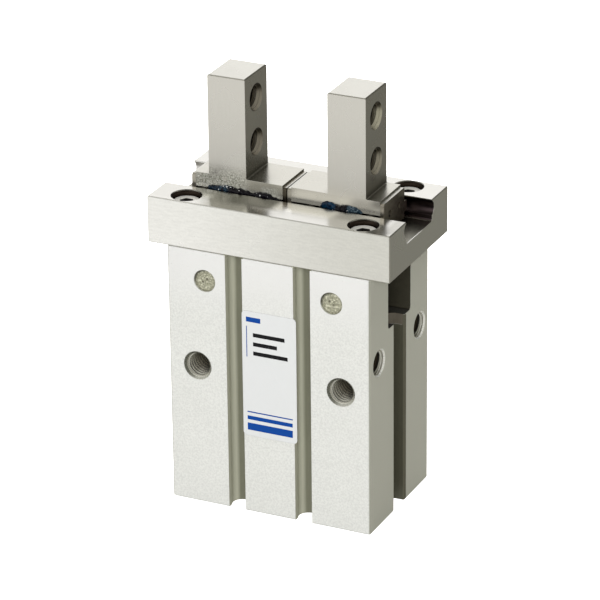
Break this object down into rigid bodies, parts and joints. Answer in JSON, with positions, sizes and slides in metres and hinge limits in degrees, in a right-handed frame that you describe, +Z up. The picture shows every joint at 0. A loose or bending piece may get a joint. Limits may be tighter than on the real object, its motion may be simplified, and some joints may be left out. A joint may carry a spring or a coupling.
{
  "type": "pneumatic parallel gripper",
  "caption": "Air-driven gripper: a ball-guided pair of parallel fingers on a grooved body, opened and closed together by a piston through bell-crank levers.",
  "frame": {"origin": "centre of the body's underside, on the cylinder's axis", "axes": "+Z up through the cylinder to the fingertips, X along the fingers' travel with the air ports on +X, and the labelled face towards -Y"},
  "size_m": [0.05, 0.0277, 0.0848],
  "materials": {
    "anodised": "fine blasted and anodised",
    "cap_aluminium": "turned",
    "guide_steel": "ground",
    "finger_steel": "ground",
    "plate_steel": "stamped",
    "lever_steel": "hardened",
    "bearing_steel": "polished",
    "screw_steel": "black oxide",
    "spring_steel": "phosphated",
    "rubber": "moulded",
    "urethane": "moulded",
    "magnet": "moulded",
    "label": "printed film"
  },
  "bodies": {
    "housing": {"body": "anodised", "passage_plug": "bearing_steel", "label": "label", "lever_shaft_right": "bearing_steel", "lever_shaft_left": "bearing_steel", "end_cap": "cap_aluminium", "end_cap_seal": "rubber", "end_cap_retaining_ring": "spring_steel", "rod_cover": "cap_aluminium", "rod_cover_seal": "rubber", "rod_cover_retaining_ring": "spring_steel", "rod_seal": "rubber", "lower_bumper": "urethane", "upper_bumper": "urethane", "guide": "guide_steel", "guide_screws": "screw_steel", "guide_dowels": "bearing_steel"},
    "piston_and_rod": {"piston": "cap_aluminium", "piston_seal": "rubber", "magnet_ring": "magnet", "piston_rod": "bearing_steel", "piston_bolt": "screw_steel", "joint_pin": "bearing_steel"},
    "right_finger": {"finger_right": "finger_steel", "end_plate_right_inner": "plate_steel", "end_plate_right_outer": "plate_steel", "plate_pins_right": "screw_steel"},
    "left_finger": {"finger_left": "finger_steel", "end_plate_left_inner": "plate_steel", "end_plate_left_outer": "plate_steel", "plate_pins_left": "screw_steel"},
    "right_lever": {"lever_right": "lever_steel"},
    "left_lever": {"lever_left": "lever_steel"},
    "right_balls": {"balls_right": "bearing_steel"},
    "left_balls": {"balls_left": "bearing_steel"}
  },
  "joints": [
    {"name": "piston_slide", "type": "slide", "parent": "housing", "child": "piston_and_rod", "axis": [0, 0, 1], "range_m": [-0.00005, 0.00494]},
    {"name": "right_finger_slide", "type": "slide", "parent": "housing", "child": "right_finger", "axis": [1, 0, 0], "range_m": [-0.00005, 0.00495]},
    {"name": "right_lever_turn", "type": "hinge", "parent": "housing", "child": "right_lever", "pos_m": [0.01315, 0, 0.0468], "axis": [0, 1, 0], "range_deg": [-0.22, 21.29]},
    {"name": "right_balls_roll", "type": "slide", "parent": "housing", "child": "right_balls", "axis": [1, 0, 0], "range_m": [-0.00003, 0.00248]},
    {"name": "left_finger_slide", "type": "slide", "parent": "housing", "child": "left_finger", "axis": [-1, 0, 0], "range_m": [-0.00005, 0.00495]},
    {"name": "left_lever_turn", "type": "hinge", "parent": "housing", "child": "left_lever", "pos_m": [-0.01315, 0, 0.0468], "axis": [0, -1, 0], "range_deg": [-0.22, 21.29]},
    {"name": "left_balls_roll", "type": "slide", "parent": "housing", "child": "left_balls", "axis": [-1, 0, 0], "range_m": [-0.00003, 0.00248]}
  ],
  "couplings": [
    {"joint": "right_finger_slide", "follows": "piston_slide", "ratio": 1.0017},
    {"joint": "right_lever_turn", "follows": "piston_slide", "rad_per_m": 75.188},
    {"joint": "right_balls_roll", "follows": "piston_slide", "ratio": 0.50087},
    {"joint": "left_finger_slide", "follows": "piston_slide", "ratio": 1.0017},
    {"joint": "left_lever_turn", "follows": "piston_slide", "rad_per_m": 75.188},
    {"joint": "left_balls_roll", "follows": "piston_slide", "ratio": 0.50087}
  ]
}
